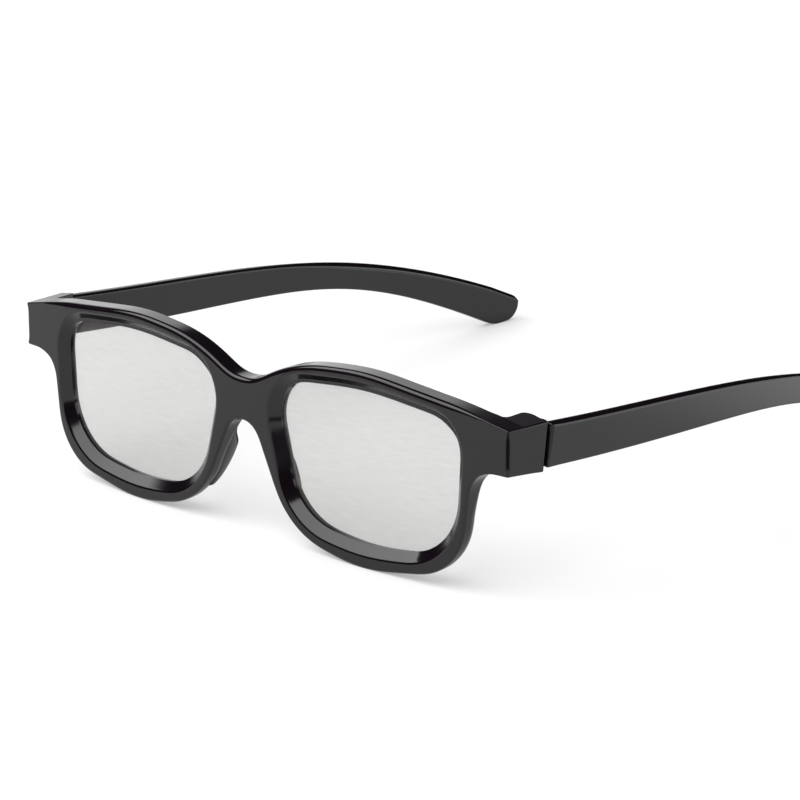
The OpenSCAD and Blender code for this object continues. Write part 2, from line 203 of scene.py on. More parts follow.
# Temples: butt, outer face, thickness at the butt and at the tip, height, drop below the end piece's top,
# where the inward curl starts, and how far it brings the tip in
TEMPLE_Y = 14.62
TEMPLE_X = 72.9
TEMPLE_T = 2.9
TIP_T = 2.4
TEMPLE_H = 9.3
TEMPLE_STEP = 0.55
CURL_START = 58.0
TIP_INSET = 6.0
# Pulls of the long edges' curves, from the hinge and from the tip
TOP_PULLS = ((53.4, -5.85), (-57.5, 24.0))
LOW_PULLS = ((74.2, -6.8), (-54.9, 25.8))
# Side view of the tip, from its end on the table: where the long edges end, and the corners between them
TIP_TOP = (-6.5, 9.1)
TIP_LOW = (-14.0, 2.45)
TIP_CORNERS = ((0.0, 6.0, 2.2), (0.4, 0.4, 4.6), (-8.6, -0.1, 9.0))
# Roundings of a temple's top edges: heights and widths of the inner and the outer one where they are soft,
# height and width of both near the hinge, and the depths between which they turn soft
TEMPLE_TOP_R = (1.75, 0.4)
TEMPLE_TOP_W = (1.75, 0.8)
TEMPLE_NEAR_R = 0.72
TEMPLE_NEAR_W = 1.44
SOFT_TOP_Y = (85.0, 115.0)
# Roundings of a temple's other edges, inner and outer, and of the corners of its butt
TEMPLE_LOW_R = (0.5, 0.4)
TEMPLE_CORNER_R = 0.4
# Step of a finely divided path, longest step between stations, and largest turn between those of a plan
FINE_STEP = 0.1
STATION_STEP = 0.8
PLAN_TURN = 8.0
# Distance within which the bends of the front's outline and of the openings run into one another
OUTLINE_EASE = 3.5
# Amount by which a solid that ends inside another one is sunk under its skin
SINK = 0.01
# Distance in metres within which vertices are doubles
DOUBLES = 1e-7

# Divisions of the meshes: angles of a rounding, shares of a width or a length, counts, and the angle in
# degrees from which an edge is shaded sharp
QUARTER = np.radians([0, 15, 30, 45, 60, 75, 90])
BACK_QUARTER = np.radians([0, 20, 40, 60, 80, 90])
LEDGE_SHARES = (0.08, 0.5, 0.92)
BEVEL_SHARES = (0.03, 0.08, 0.3, 0.55, 0.76)
CURVE_SHARES = (0, 0.25, 0.5, 0.75, 1)
WALL_SHARES = (0.02, 0.25, 0.5, 0.75, 0.98)
FACE_SHARES = np.linspace(0, 1, 9)
MIDDLE_STATIONS = 13
SPREAD_WINDOW = 23
EVEN_SHARE = 0.15
LENS_SHARES = (0, 0.25, 0.5, 0.75, 0.9, 1)
LENS_POINTS = 240
PAD_STATIONS = 61
PAD_POINTS = 48
CURVE_POINTS = 90
# Points of a temple's curves that the butt's corners take the place of
BUTT_POINTS = 5
TEMPLE_STATIONS = 260
TEMPLE_SHARES = (0, 0.04, 0.2, 0.4, 0.6, 0.8, 0.96, 1)
SHARP_DEG = 40

# Least roughness of a moulding, and how much its grain adds
FRONT_GLOSS = (0.07, 0.08)
TEMPLE_GLOSS = (0.10, 0.10)

# White table, in metres: half its side, the distances over which its lift grows, and the lift
TABLE_HALF = 4.0
GROUND_REACH = (0.2, 0.8)
GROUND_LIFT = (0.33, 0.65)
# What gloss sees of the table: its white and the dark of the painted shade, a low glow, and a painted pool of
# light in the corner behind on the wearer's left
TABLE_WHITE_AND_PAINTED_SHADE = (0.5, 0.04)
TABLE_GLOW = 0.12
# Painted pool of light that gloss sees on the table, by X and by Y
PAINTED_LIGHT_X = (0.03, 0.07)
PAINTED_LIGHT_Y = (0.02, 0.11)
# Places of painted shade, where gloss sees the table dark: middle, turn in degrees, half length and half
# width of each, and the shares of those over which its edge is soft
PAINTED_SHADE_PLACES = ((0.143, -0.15, 46, 0.12, 0.055), (-0.007, -0.024, 48, 0.07, 0.018))
PAINTED_SHADE_EDGE = (0.6, 1.0)
# Room: its even fill, and the white backdrop that gloss sees, by the height, the bearing and the Y of a
# direction
FILL_LEVEL = 0.8
BACKDROP_LEVELS = (0.016, 1.3)
BACKDROP_RISE = (0.545, 0.42)
BACKDROP_WAY = (-0.67, 0.74, 0)
BACKDROP_SIDE = (0.70, 0.88)
BACKDROP_REAR = (0.765, 0.725)

OVERALL_DEPTH = (cad_box[1][1] - cad_box[0][1]) / MM
FRONT_Y = cad_box[0][1] / MM
PINS = {j["child"]: np.array(j["pos_m"]) / MM for j in frame["joints"]}
PIN_X = PINS["temple_left_body"][0]
PIN_Y = PINS["temple_left_body"][1] - FRONT_Y


def unit(v):
    """Vectors divided by their lengths."""
    return v / np.linalg.norm(v, axis=-1, keepdims=True)


def smooth_step(t):
    """0 below 0, 1 above 1, and a smooth rise between."""
    t = np.clip(t, 0, 1)
    return t * t * (3 - 2 * t)


def between(value, start, finish):
    """Smooth share of the way from start to finish that a value has gone."""
    return smooth_step((value - start) / (finish - start))


def blend(pair, share):
    """Value at a share of the way from the first of a pair to the second."""
    return pair[0] + (pair[1] - pair[0]) * share


def bow(x, depth=0.0):
    """Depth behind the front's middle of a point at x on the sheet at a depth.

    The sheets are coaxial cylinders.
    """
    return BOW_R - np.sqrt((BOW_R - depth) ** 2 - x**2)


def bowed(plane, depth):
    """Points of the front's plane, across and up, carried to a depth behind its bowed face."""
    return np.stack([plane[..., 0], bow(plane[..., 0], depth), plane[..., 1]], -1)


def left_of(way):
    """Directions turned left by a quarter."""
    return np.stack([-way[:, 1], way[:, 0]], 1)


def lengths_along(points):
    """Distance of each point from the first, along the path through them."""
    return np.concatenate([[0], np.cumsum(np.linalg.norm(np.diff(points, axis=0), axis=1))])


def read_at(at, along, values, period=None):
    """Pairs of values read at places between those where they are known."""
    return np.stack([np.interp(at, along, values[:, k], period=period) for k in (0, 1)], 1)


def rounded_path(corners, closed, turn_step=4.0):
    """Points and outward normals of straight lines joined by tangent arcs, run clockwise.

    A corner is (across, up, radius). Its arc turns the incoming direction u into the outgoing one; the normal
    is the direction turned left, and a point is the arc's centre plus or minus the radius times the normal.
    """
    c = np.array(corners, float)
    u = unit(np.roll(c[:, :2], -1, 0) - c[:, :2])
    points, normals = [], []
    for i, (q, r) in enumerate(zip(c[:, :2], c[:, 2])):
        came, goes = u[i - 1], u[i]
        if not closed and i in (0, len(c) - 1):
            d = goes if i == 0 else came
            points.append(q[None])
            normals.append(np.array([[-d[1], d[0]]]))
            continue
        turn = math.atan2(came[0] * goes[1] - came[1] * goes[0], came @ goes)
        side = math.copysign(1, turn)
        a = np.linspace(0, turn, max(3, math.ceil(abs(math.degrees(turn)) / turn_step)))
        left = np.array([-came[1], came[0]])
        cos, sin = np.cos(a), np.sin(a)
        n = np.stack([left[0] * cos - left[1] * sin, left[0] * sin + left[1] * cos], 1)
        start = q - came * r * math.tan(abs(turn) / 2)
        points.append(start + side * r * left - side * r * n)
        normals.append(n)
    return np.concatenate(points), np.concatenate(normals)


def fine_path(corners, closed, ease=0.0, hard=None):
    """Arc lengths, points and outward normals of a rounded path at a fine even step.

    With an ease, each point is the weighted mean of its neighbours within that distance, so that the bends
    run into one another; hard gives the share of each point that is left where it was. An open path starts
    and ends on the middle line and is carried over it as its mirror image.
    """
    points, _ = rounded_path(corners, closed)
    if closed:
        points = np.concatenate([points, points[:1]])
    s = lengths_along(points)
    fine = np.linspace(0, s[-1], round(s[-1] / FINE_STEP) + 1)
    at = read_at(fine, s, points)
    reach = max(2, round(ease / FINE_STEP))

    def carried_on(at):
        if closed:
            before, after = at[-reach - 1 : -1], at[1 : reach + 1]
        else:
            before, after = at[reach:0:-1] * (-1, 1), at[-2 : -reach - 2 : -1] * (-1, 1)
        return np.concatenate([before, at, after])

    if ease:
        wide = carried_on(at)
        window = np.hanning(2 * reach + 3)[1:-1]
        window /= window.sum()
        soft = np.stack([np.convolve(wide[:, k], window, "valid") for k in (0, 1)], 1)
        share = hard(at)[:, None] if hard else 0
        at = at * share + soft * (1 - share)
    way = unit(np.gradient(carried_on(at), axis=0))[reach:-reach]
    return fine, at, left_of(way)


def stations_on(fine, points, normals, longest, turn_deg=6.0, closed=False):
    """Points and normals picked from a fine path, closer together where it bends."""
    turn = np.linalg.norm(np.gradient(normals, axis=0), axis=1)
    density = np.gradient(fine) / longest + turn / math.radians(turn_deg)
    total = np.cumsum(density) - density[0]
    t = np.linspace(0, total[-1], math.ceil(total[-1]) + 1)
    picked, turned = read_at(t, total, points), unit(read_at(t, total, normals))
    return (picked[:-1], turned[:-1]) if closed else (picked, turned)


def plan_stations(plan):
    """Stations of a closed plan whose corners run anticlockwise in X and Y, turned round."""
    return stations_on(*fine_path(plan[::-1], True), STATION_STEP, PLAN_TURN, True)


def grid_faces(rows, columns, close_rows, close_columns):
    """Quads of a grid whose vertices run along columns first."""
    i, j = np.meshgrid(
        np.arange(rows if close_rows else rows - 1),
        np.arange(columns if close_columns else columns - 1),
        indexing="ij",
    )
    i2, j2 = (i + 1) % rows, (j + 1) % columns
    return np.stack([i * columns + j, i2 * columns + j, i2 * columns + j2, i * columns + j2], -1)


def tube_faces(rows, columns):
    """Quads of a grid that closes along its columns, as a list."""
    return grid_faces(rows, columns, False, True).reshape(-1, 4).tolist()


def as_built(part):
    """The part on the wearer's left, where everything is drawn."""
    return part


def mirrored(part):
    """The part on the wearer's right: X is turned round, and so is the order of each face."""
    verts, faces = part
    return verts * (-1, 1, 1), [tuple(reversed(f)) for f in faces]


def closed_skin(parts):
    """Mesh in metres of the parts of one closed skin, with doubles merged and all faces turned outwards."""
    verts = np.concatenate([v for v, _ in parts]) + (0, FRONT_Y, 0)
    starts = np.cumsum([0] + [len(v) for v, _ in parts])
    faces = [tuple(int(k) + start for k in f) for start, (_, fs) in zip(starts, parts) for f in fs]
    skin = bpy.data.meshes.new("skin")
    skin.from_pydata((verts * MM).tolist(), [], faces)
    bm = bmesh.new()
    bm.from_mesh(skin)
    bmesh.ops.remove_doubles(bm, verts=bm.verts, dist=DOUBLES)
    bmesh.ops.dissolve_degenerate(bm, edges=bm.edges, dist=DOUBLES)
    loose = [v for v in bm.verts if not v.link_faces]
    bmesh.ops.delete(bm, geom=loose, context="VERTS")
    bmesh.ops.recalc_face_normals(bm, faces=bm.faces)
    if bm.calc_volume(signed=True) < 0:
        bmesh.ops.reverse_faces(bm, faces=bm.faces)
    bm.to_mesh(skin)
    bm.free()
    return skin


def make_piece(name, skins, material, body, nodes):
    """One object of several closed skins, each a list of parts that close together."""
    bm = bmesh.new()
    for parts in skins:
        skin = closed_skin(parts)
        bm.from_mesh(skin)
        bpy.data.meshes.remove(skin)
    mesh = bpy.data.meshes.new(name)
    bm.to_mesh(mesh)
    bm.free()
    mesh.shade_smooth()
    mesh.set_sharp_from_angle(angle=math.radians(SHARP_DEG))
    mesh.materials.append(material)
    piece = bpy.data.objects.new(name, mesh)
    bpy.context.scene.collection.objects.link(piece)
    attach(piece, body)
    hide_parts(*nodes)


def eye_loop_at(angles):
    """Points and outward normals of the left opening, at clockwise angles about its middle."""
    _, points, normals = fine_path(EYE_CORNERS, True, OUTLINE_EASE)
    points, normals = points[:-1], normals[:-1]
    turned = -np.arctan2(points[:, 1] - EYE_CENTRE[1], points[:, 0] - EYE_CENTRE[0])
    order = np.argsort(turned)
    at = lambda values: read_at(angles, turned[order], values[order], 2 * np.pi)
    return at(points), unit(at(normals))


def eye_stations(face_out):
    """Points and normals of the left opening that are matched to the stations of the front's face.

    Each station is matched to a direction from the opening's middle; those of the end piece are first drawn
    in to the rim's side, which keeps the face's lines inside the outline. The directions are then spread more
    evenly.
    """
    stations = len(face_out)
    beyond = np.clip(face_out[:, 0] - RIM_SIDE_X, 0, None)
    drawn_x, drawn_z = face_out[:, 0] - beyond, face_out[:, 1] + END_PULL * beyond
    angles = -np.unwrap(np.arctan2(drawn_z - EYE_CENTRE[1], drawn_x - EYE_CENTRE[0]))
    even = np.arange(stations) * 2 * np.pi / stations + angles[0]
    spread = (np.maximum.accumulate(angles) - even) * (1 - EVEN_SHARE)
    window = np.hanning(SPREAD_WINDOW)
    window /= window.sum()
    reach = SPREAD_WINDOW // 2
    ringed = np.concatenate([spread[-reach:], spread, spread[:reach]])
    return eye_loop_at(even + np.convolve(ringed, window, "valid"))


def front_half():
    """Left half of the front as one closed skin: a profile carried round the eye opening.

    The path's stations run along the half outline and back up the middle line. At each one the profile goes
    through the opening from its rear edge forwards (rear rounding, groove, step, ledge, bevel), across the
    face to the outline, back over the outline's rounded wall, and across the rear to where it began. On the
    middle line there is no wall: the other half joins there.
    """
    stays_hard = lambda p: between(p[:, 0], *END_HARD_X)
    rim, rim_n = stations_on(*fine_path(HALF_OUTLINE, False, OUTLINE_EASE, stays_hard), STATION_STEP)
    rim[[0, -1], 0] = 0
    n = len(rim)
    x, z = rim.T
    low_rim = between(z, *LOW_RIM_Z)
    end = between(x, *END_FACE_X)
    top = between(rim_n[:, 1], *TOP_FACING) * (1 - between(x, *BROW_FADE_X))
    # The end piece's upright corner is rounder than its top and low edges
    from_top, from_low = CORNER_Z - END_EDGE_R - z, z - UNDER_Z - END_EDGE_R
    upright = smooth_step(from_top / CORNER_RUN) * smooth_step(from_low / CORNER_RUN)
    end_r = blend((END_EDGE_R, END_CORNER_R), upright * between(rim_n[:, 0], *SIDE_FACING))
    edge = FACE_EDGE_R + (end_r - FACE_EDGE_R) * end
    edge_h, edge_d = (edge + (size - FACE_EDGE_R) * top for size in BROW_EDGE)
    crown = BROW_CROWN * top
    back_w, back_d = (blend(pair, low_rim) * (1 - end) + SINK for pair in zip(BROW_BACK, RIM_BACK))
    # The end piece's side leans outwards, its top falls on at the brow's slope, and its underside falls too
    out = between(x, BROW_END[0], HALF_W - END_EDGE_R)
    up, down = np.clip(rim_n[:, 1], 0, 1), np.clip(-rim_n[:, 1], 0, 1)
    lean = np.stack([ARM_LEAN * out, -out * (ARM_LEAN * BROW_FALL * up + END_FALL * down)], 1)

    t = np.linspace(0, 1, MIDDLE_STATIONS + 2)[1:-1, None]
    middle_line = lambda ends: ends[-1:] * (1 - t) + ends[:1] * t
    face_end = rim - rim_n * edge_h[:, None]
    rear_end = rim - rim_n * back_w[:, None]
    face_hold = face_end - rim_n * FACE_HOLD
    face_out = np.concatenate([face_end, middle_line(face_end)])
    hold_out = np.concatenate([face_hold, middle_line(face_end) + (FACE_HOLD, 0)])
    rear_out = np.concatenate([rear_end, middle_line(rear_end)])
    stations = len(face_out)
    eye, eye_n = eye_stations(face_out)
    columns, wall = [], []

    def inner(out, depth):
        columns.append((eye + eye_n * np.reshape(out, (-1, 1)), np.broadcast_to(depth, stations)))

    def outer(out, depth):
        at = np.concatenate([rim + rim_n * out[:, None] + lean * depth[:, None], face_out[n:]])
        wall.append(len(columns))
        columns.append((at, np.concatenate([depth, np.zeros(MIDDLE_STATIONS)])))

    def across(a, b, depth):
        for s in FACE_SHARES:
            columns.append((a * (1 - s) + b * s, np.full(stations, depth)))

    flare = blend(OPENING_FLARE, smooth_step(eye_n[:, 0]))
    over = between(eye_n[:, 1], *OVER_FACING)
    ledge = LEDGE_W * over
    bevel_w, bevel_d = blend(BEVEL_W, over), blend(BEVEL_D, over)
    for a in BACK_QUARTER:
        inner(flare + OPENING_BACK_R * (1 - np.sin(a)), FRONT_T - OPENING_BACK_R * (1 - np.cos(a)))
    for out, depth in (
        (flare, GROOVE_DEPTHS[1] + GROOVE_HOLD),
        (flare, GROOVE_DEPTHS[1]),
        (GROOVE_W, GROOVE_DEPTHS[1]),
        (GROOVE_W, GROOVE_DEPTHS[0]),
        (STEP_OUT, GROOVE_DEPTHS[0]),
        (STEP_OUT, GROOVE_DEPTHS[0] - STEP_HOLD),
    ):
        inner(out, depth)
    for s in LEDGE_SHARES:
        inner(STEP_OUT + (ledge - STEP_OUT) * s, bevel_d - LEDGE_RISE * over * (1 - s))
    for s in BEVEL_SHARES:
        inner(ledge + bevel_w * s, bevel_d * (1 - s))
    slope = np.arctan2(bevel_d, bevel_w)
    soft = BEVEL_EDGE_R / np.tan((np.pi - slope) / 2) * 2
    for s in CURVE_SHARES:
        # Quadratic curve from the bevel over its edge on to the face
        run = soft * (-np.cos(slope) * (1 - s) ** 2 + s**2)
        inner(ledge + bevel_w + run, soft * np.sin(slope) * (1 - s) ** 2)
    across(eye + eye_n * (ledge + bevel_w + soft + FACE_HOLD)[:, None], hold_out, 0.0)
    for a in QUARTER:
        outer((edge_h + crown) * np.sin(a) - edge_h, edge_d * (1 - np.cos(a)))
    for s in WALL_SHARES:
        outer(crown, edge_d + s * (FRONT_T - back_d - edge_d))
    for a in QUARTER:
        outer((crown + back_w) * np.cos(a) - back_w, FRONT_T - back_d * (1 - np.sin(a)))
    across(rear_out, eye + eye_n * (flare + OPENING_BACK_R + REAR_HOLD)[:, None], FRONT_T)

    plane = np.stack([c for c, _ in columns], 1)
    depth = np.stack([d for _, d in columns], 1)
    faces = grid_faces(stations, len(columns), True, True)
    no_wall = np.zeros(faces.shape[:2], bool)
    no_wall[n - 1 :, wall[0] : wall[-1] + 1] = True
    return bowed(plane, depth).reshape(-1, 3), faces[~no_wall].tolist()


def prism(loop, normals, low, high, low_r=0.0, high_r=0.0):
    """Upright prism on a clockwise plan loop; low and high give Z from X and Y at its two ends.

    Each end's edge has a rounding of its own, and a narrow ring inside it keeps the end's face flat.
    """
    rows = []
    for at, sign, radius in ((low, 1, low_r), (high, -1, high_r)):
        radius = np.broadcast_to(radius, len(loop))
        ring = loop - normals * (radius + CAP_RING)[:, None]
        end = [np.column_stack([ring, at(*ring.T)])]
        for a in QUARTER:
            p = loop - normals * (radius * (1 - np.sin(a)))[:, None]
            end.append(np.column_stack([p, at(*p.T) + sign * radius * (1 - np.cos(a))]))
        rows += end[::sign]
    verts = np.concatenate(rows)
    n = len(loop)
    faces = tube_faces(len(rows), n)
    faces.append(list(range(n)))
    faces.append(list(range(len(verts) - n, len(verts)))[::-1])
    return verts, faces


def brow_line(x, _y):
    """Height of the end piece's sloping top: one plane that dips under the front's skin towards the brow."""
    return CORNER_Z - (BROW_FALL - ROOT_DIP) * (x - HALF_W) - SINK


def level(z):
    """A height that is the same everywhere."""
    return lambda x, _y: np.full_like(x, z)


def set_back(part, ends, share):
    """A part sheared to the rear, evenly from the end piece's foot to its top, by a share at each point."""
    verts, faces = part
    x, y, z = verts.T
    back = blend(ends, (z - UNDER_Z) / (CORNER_Z - UNDER_Z)) * share(x, y)
    return verts + back[:, None] * (0, 1, 0), faces


def end_piece():
    """End piece behind the front's corner: two ears around the pin and the slotted middle between them.

    In plan its outer face leans outwards, its rear is flat with a barrel round the pin, and a concave arc
    joins its inner face to the front's rear.
    """
    corner_y = bow(HALF_W)
    side_x = lambda y: HALF_W + ARM_LEAN * (y - corner_y) - SINK
    inner_x = PIN_X - BARREL_R
    foot_x = inner_x - ROOT_R
    rear_y = bow(foot_x, FRONT_T)
    root_y = rear_y - ROOT_LAP
    barrel_y = PIN_Y + BARREL_R
    inside = [
        (inner_x, rear_y, ROOT_R),
        (foot_x - FOOT_RUN, rear_y, SMALL_R),
        (foot_x, root_y, SMALL_R),
        (side_x(root_y), root_y, SMALL_R),
    ]
    ear_plan = [
        (side_x(ARM_Y), ARM_Y, ARM_CORNER_R),
        (PIN_X + BARREL_R, ARM_Y, BARREL_FILLET_R),
        (PIN_X + BARREL_SIDE, barrel_y, BARREL_FILLET_R),
        (inner_x, barrel_y, BARREL_R - SMALL_R),
        *inside,
    ]
    slot_x = TEMPLE_X - TEMPLE_T + WEB_LAP + HINGE_GAP
    slot_y = PIN_Y - WEB_HALF - HINGE_GAP
    recess = KNUCKLE_R + HINGE_GAP
    middle_plan = [
        (side_x(ARM_Y), ARM_Y, ARM_CORNER_R),
        (slot_x, ARM_Y, SLOT_R),
        (slot_x, slot_y, SMALL_R),
        (PIN_X + recess - RECESS_DRAFT, slot_y, SLOT_R),
        (PIN_X + RECESS_R, PIN_Y - recess, RECESS_R),
        (PIN_X - RECESS_R, PIN_Y - recess, RECESS_R),
        (PIN_X - recess + RECESS_DRAFT, slot_y, SLOT_R),
        (inner_x, slot_y, SMALL_R),
        *inside,
    ]
    ear, middle = plan_stations(ear_plan), plan_stations(middle_plan)
    slot_low, slot_top = UNDER_Z + EAR_T, CORNER_Z - EAR_T
    under = lambda x, y: UNDER_Z + SINK - END_FALL * (y - corner_y)
    edge_r = blend((EAR_EDGE_R, END_EDGE_R), between(ear[1][:, 0], *EAR_FACING))
    blocks = [
        prism(*ear, under, level(slot_low), low_r=edge_r),
        prism(*middle, level(slot_low - EAR_LAP), level(slot_top + EAR_LAP)),
        prism(*ear, level(slot_top), brow_line, high_r=edge_r),
    ]
    beside_pin = lambda x: between(x, PIN_X + BARREL_SIDE, PIN_X + 2 * BARREL_SIDE)
    share = lambda x, y: beside_pin(x) * between(y, ARM_Y - SLANT_RUN, ARM_Y)
    return [set_back(block, END_SLANT, share) for block in blocks]


def nose_pad():
    """Nose pad: half an ellipse in plan that stands off the rim's nose side, carried along it.

    Along the pad u runs from -1 at its foot to 1 at the arch. Its reach shrinks by the root of 1 - u squared
    towards both ends, and has a hollow between its fullest place and the arch. What is ahead of the rim's
    rear stays inside it.
    """
    u = np.sin(np.linspace(-np.pi / 2, np.pi / 2, PAD_STATIONS))[:, None]
    v = np.linspace(0, 2 * np.pi, PAD_POINTS, endpoint=False)[None]
    z = (PAD_SPAN[0] + PAD_SPAN[1]) / 2 + u * (PAD_SPAN[1] - PAD_SPAN[0]) / 2
    rise = (z - NOSE_CORNER[1]) / (ARCH_CORNER[1] - NOSE_CORNER[1])
    side = blend((NOSE_CORNER[0], ARCH_CORNER[0]), rise)
    swell = np.sqrt(1 - u**2)
    hollow = 1 - PAD_HOLLOW * between(u, *PAD_HOLLOW_SPAN)
    thick = PAD_T / 2 * swell ** PAD_BLUNT[0]
    reach = np.where(np.sin(v) > 0, (PAD_REACH + PAD_ROOT) * swell * hollow, PAD_ROOT)
    x = side + PAD_EASE + PAD_T / 2 + thick * np.cos(v)
    y = bow(side, FRONT_T - PAD_ROOT) + reach * np.sin(v) * swell ** PAD_BLUNT[1]
    verts = np.stack([x, y, np.broadcast_to(z, x.shape)], -1).reshape(-1, 3)
    return verts, tube_faces(PAD_STATIONS, PAD_POINTS)


def lens_sheet():
    """Lens of the left eye: a disc in polar form, out to the opening grown by its seat, at two depths."""
    loop, normals = eye_loop_at(np.linspace(0, 2 * np.pi, LENS_POINTS, endpoint=False))
    shares = np.array(LENS_SHARES)[:, None, None]
    disc = np.array(EYE_CENTRE) * (1 - shares) + (loop + normals * LENS_SEAT) * shares
    front, back = LENS_DEPTHS
    verts = np.concatenate([bowed(disc, front), bowed(disc[::-1], back)])
    return verts.reshape(-1, 3), tube_faces(len(verts), LENS_POINTS)


def bezier(p, t):
    """Cubic curve of four points, and its direction."""
    t = t[:, None]
    p = np.array(p, float)
    r = 1 - t
    at = r**3 * p[0] + 3 * r**2 * t * p[1] + 3 * r * t**2 * p[2] + t**3 * p[3]
    way = r**2 * (p[1] - p[0]) + 2 * r * t * (p[2] - p[1]) + t**2 * (p[3] - p[2])
    return at, unit(way)


def temple_outline(end):
    """Points and outward normals of a temple's side view, clockwise from the middle of its butt.

    Each long edge is a cubic curve from the hinge to the tip, and tangent arcs round the tip and the butt's
    corners. The tip is drawn from its end point.
    """
    top_z = CORNER_Z - TEMPLE_STEP
    low_z = top_z - TEMPLE_H
    t = np.linspace(0, 1, CURVE_POINTS)

    def long_edge(z, pulls, finish):
        start = np.array([TEMPLE_Y, z])
        return bezier([start, start + pulls[0], finish + pulls[1], finish], t)

    top = long_edge(top_z, TOP_PULLS, end + TIP_TOP)
    low = long_edge(low_z, LOW_PULLS, end + TIP_LOW)
    corners = [(*(end + corner), r) for *corner, r in TIP_CORNERS]
    tip = rounded_path([(*top[0][-1], 0), *corners, (*low[0][-1], 0)], False)
    middle = (TEMPLE_Y, (top_z + low_z) / 2, 0)
    last = BUTT_POINTS - 1
    front = rounded_path([middle, (TEMPLE_Y, top_z, TEMPLE_CORNER_R), (*top[0][last], 0)], False)
    foot = rounded_path([(*low[0][last], 0), (TEMPLE_Y, low_z, TEMPLE_CORNER_R), middle], False)
    pieces = (
        front,
        (top[0][last + 1 : -1], left_of(top[1])[last + 1 : -1]),
        (tip[0][1:-1], tip[1][1:-1]),
        (low[0][:last:-1], -left_of(low[1])[:last:-1]),
        foot,
    )
    return np.concatenate([p for p, _ in pieces]), np.concatenate([n for _, n in pieces])


def temple_side():
    """Side view of a temple as the top and bottom halves of its outline, from the butt to the tip's end.

    The outline is moved so that the tip's lowest point is on the table and its end at the overall depth.
    Returns points and outward normals in Y and Z, paired top to bottom.
    """
    end = np.array([OVERALL_DEPTH, 0])
    first = temple_outline(end)[0]
    points, normals = temple_outline(end + (OVERALL_DEPTH - first[:, 0].max(), -first[:, 1].min()))
    s = lengths_along(points)
    tip = s[np.argmax(points[:, 0])]
    # Stations crowd towards both ends, where the corners are
    even = np.linspace(0, 1, TEMPLE_STATIONS)
    crowded = (even + (1 - np.cos(even * np.pi)) / 2) / 2

    def half(start):
        at = start + (tip - start) * crowded
        return read_at(at, s, points), unit(read_at(at, s, normals))

    # Each half begins where the straight butt ends
    return half(s[1]), half(s[-2])


def temple_share(y):
    """Share of a temple's length at depths y."""
    return (y - TEMPLE_Y) / (OVERALL_DEPTH - TEMPLE_Y)


def temple_faces_x(y):
    """X of a temple's inner and outer face at depths y: it thins and curls inwards towards its tip."""
    curl = TIP_INSET * (np.clip(y - CURL_START, 0, None) / (OVERALL_DEPTH - CURL_START)) ** 2
    outer = TEMPLE_X - curl
    return outer - blend((TEMPLE_T, TIP_T), temple_share(y)), outer


def temple_edge(points, normals, face):
    """Height and width of the rounding of a temple's edge at points of its side view, for one of its faces.

    An edge that faces up is a wide ellipse near the hinge and grows rounder towards the tip; the others are
    quarter circles. Both measures shrink as the temple thins.
    """
    thin = blend((1, TIP_T / TEMPLE_T), temple_share(points[:, 0]))
    up = smooth_step(normals[:, 1])
    soft = between(points[:, 0], *SOFT_TOP_Y)
    high = blend((TEMPLE_NEAR_R, TEMPLE_TOP_R[face]), soft)
    wide = blend((TEMPLE_NEAR_W, TEMPLE_TOP_W[face]), soft)
    return [(blend((TEMPLE_LOW_R[face], size), up) * thin)[:, None] for size in (high, wide)]


def temple_blade():
    """Blade of the left temple: a rounded edge profile carried round its side view, with a grid on each face.

    The butt leans on its outer side only, so that its inner side stays clear of the barrel.
    """
    top, low = temple_side()
    shares = np.array(TEMPLE_SHARES)[:, None]
    butt = [(a[0] * (1 - shares) + b[0] * shares)[-2:0:-1] for a, b in zip(top, low)]
    loop = np.concatenate([top[0], low[0][-2::-1], butt[0]])
    normals = np.concatenate([top[1], low[1][-2::-1], butt[1]])
    rows = []
    for face, order, sign in ((0, QUARTER, 1), (1, QUARTER[::-1], -1)):
        edge_r, edge_w = temple_edge(loop, normals, face)
        for a in order:
            p = loop - normals * edge_r * (1 - np.sin(a))
            x = temple_faces_x(p[:, 0])[face]
            rows.append(np.column_stack([x + sign * edge_w[:, 0] * (1 - np.cos(a)), p]))
    parts = [(np.concatenate(rows), tube_faces(len(rows), len(loop)))]
    for face in (0, 1):
        edge_top = top[0] - top[1] * temple_edge(*top, face)[0]
        edge_low = low[0] - low[1] * temple_edge(*low, face)[0]
        s = shares[:, None]
        p = (edge_top * (1 - s) + edge_low * s).reshape(-1, 2)
        verts = np.column_stack([temple_faces_x(p[:, 0])[face], p])
        parts.append((verts, grid_faces(len(s), len(edge_top), False, False).reshape(-1, 4).tolist()))
    outside = lambda x: between(x, TEMPLE_X - TEMPLE_T, TEMPLE_X)
    share = lambda x, y: outside(x) * (1 - between(y, TEMPLE_Y, TEMPLE_Y + SLANT_RUN))
    return [set_back(part, BUTT_SLANT, share) for part in parts]


def knuckle():
    """Hinge knuckle of the left temple: a round eye on the pin and the web that runs into the blade."""
    inner_x = TEMPLE_X - TEMPLE_T
    web_x, web_y = inner_x + WEB_LAP, TEMPLE_Y + WEB_RUN
    eye = [
        (PIN_X - KNUCKLE_R, PIN_Y - KNUCKLE_R, KNUCKLE_R - KNUCKLE_EASE[0]),
        (PIN_X + KNUCKLE_R, PIN_Y - KNUCKLE_R, KNUCKLE_R - KNUCKLE_EASE[1]),
    ]
    web = [
        (web_x, PIN_Y + WEB_BEGINS[0]),
        (web_x, web_y),
        (inner_x - WEB_SLANT[0], web_y),
        (PIN_X - WEB_HALF, TEMPLE_Y - WEB_SLANT[1]),
        (PIN_X - KNUCKLE_R, PIN_Y + WEB_BEGINS[1]),
    ]
    plan = eye + [(*corner, r) for corner, r in zip(web, WEB_CORNER_R)]
    low, high = UNDER_Z + EAR_T + HINGE_GAP, CORNER_Z - EAR_T - HINGE_GAP
    return prism(*plan_stations(plan), level(low), level(high), KNUCKLE_EDGE_R, KNUCKLE_EDGE_R)


def new_node(tree, kind, **settings):
    """A new node of a kind, with its plain settings."""
    node = tree.nodes.new(kind)
    for key, value in settings.items():
        setattr(node, key, value)
    return node


